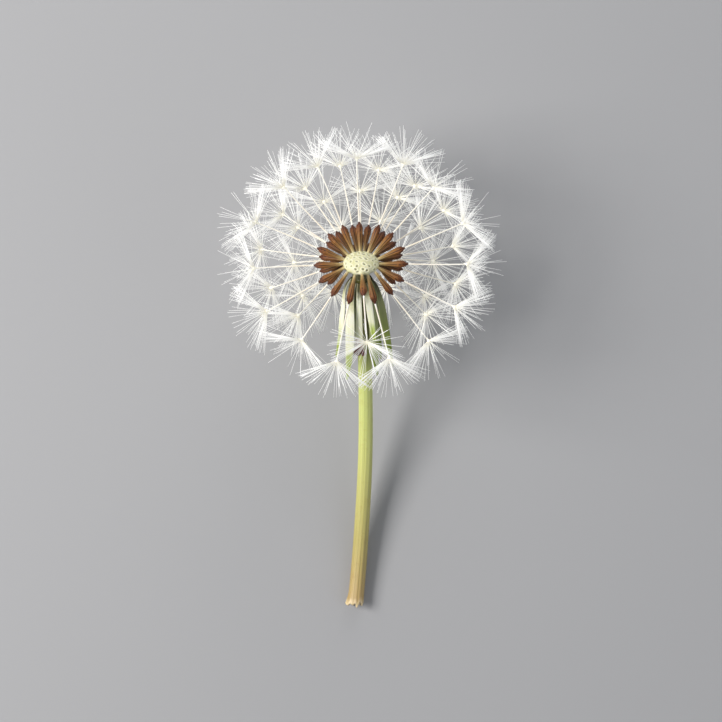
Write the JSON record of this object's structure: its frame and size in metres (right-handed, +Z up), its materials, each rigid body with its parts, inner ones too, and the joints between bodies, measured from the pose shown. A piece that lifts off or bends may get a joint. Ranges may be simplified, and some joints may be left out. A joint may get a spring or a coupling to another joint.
{
  "type": "dandelion seed head",
  "caption": "Half-blown dandelion clock with feathery seeds on a pitted receptacle, folded-back bracts and a cut hollow stem, lying on its side.",
  "frame": {"origin": "centre of the whole object's footprint, on the surface that it lies on", "axes": "+Z up from the surface; +Y along the length, from the cut end of the stem towards the head; +X across. The side of the ball that has lost its seeds faces up."},
  "size_m": [0.0458, 0.0774, 0.0384],
  "materials": {
    "stem": "satin",
    "receptacle": "matte",
    "bract": "matte",
    "seed": "matte"
  },
  "bodies": {
    "root": {"stem": "stem", "receptacle": "receptacle", "bract_01": "bract", "bract_02": "bract", "bract_03": "bract", "bract_04": "bract", "bract_05": "bract", "bract_06": "bract", "bract_07": "bract", "bract_08": "bract", "bract_09": "bract", "bract_10": "bract", "bract_11": "bract", "bract_12": "bract", "seed_01": "seed", "seed_02": "seed", "seed_03": "seed", "seed_04": "seed", "seed_05": "seed", "seed_06": "seed", "seed_07": "seed", "seed_08": "seed", "seed_09": "seed", "seed_10": "seed", "seed_11": "seed", "seed_12": "seed", "seed_13": "seed", "seed_14": "seed", "seed_15": "seed", "seed_16": "seed", "seed_17": "seed", "seed_18": "seed", "seed_19": "seed", "seed_20": "seed", "seed_21": "seed", "seed_22": "seed", "seed_23": "seed", "seed_24": "seed", "seed_25": "seed", "seed_26": "seed", "seed_27": "seed", "seed_28": "seed", "seed_29": "seed", "seed_30": "seed", "seed_31": "seed", "seed_32": "seed", "seed_33": "seed", "seed_34": "seed", "seed_35": "seed", "seed_36": "seed", "seed_37": "seed", "seed_38": "seed", "seed_39": "seed", "seed_40": "seed", "seed_41": "seed", "seed_42": "seed", "seed_43": "seed"}
  },
  "joints": []
}
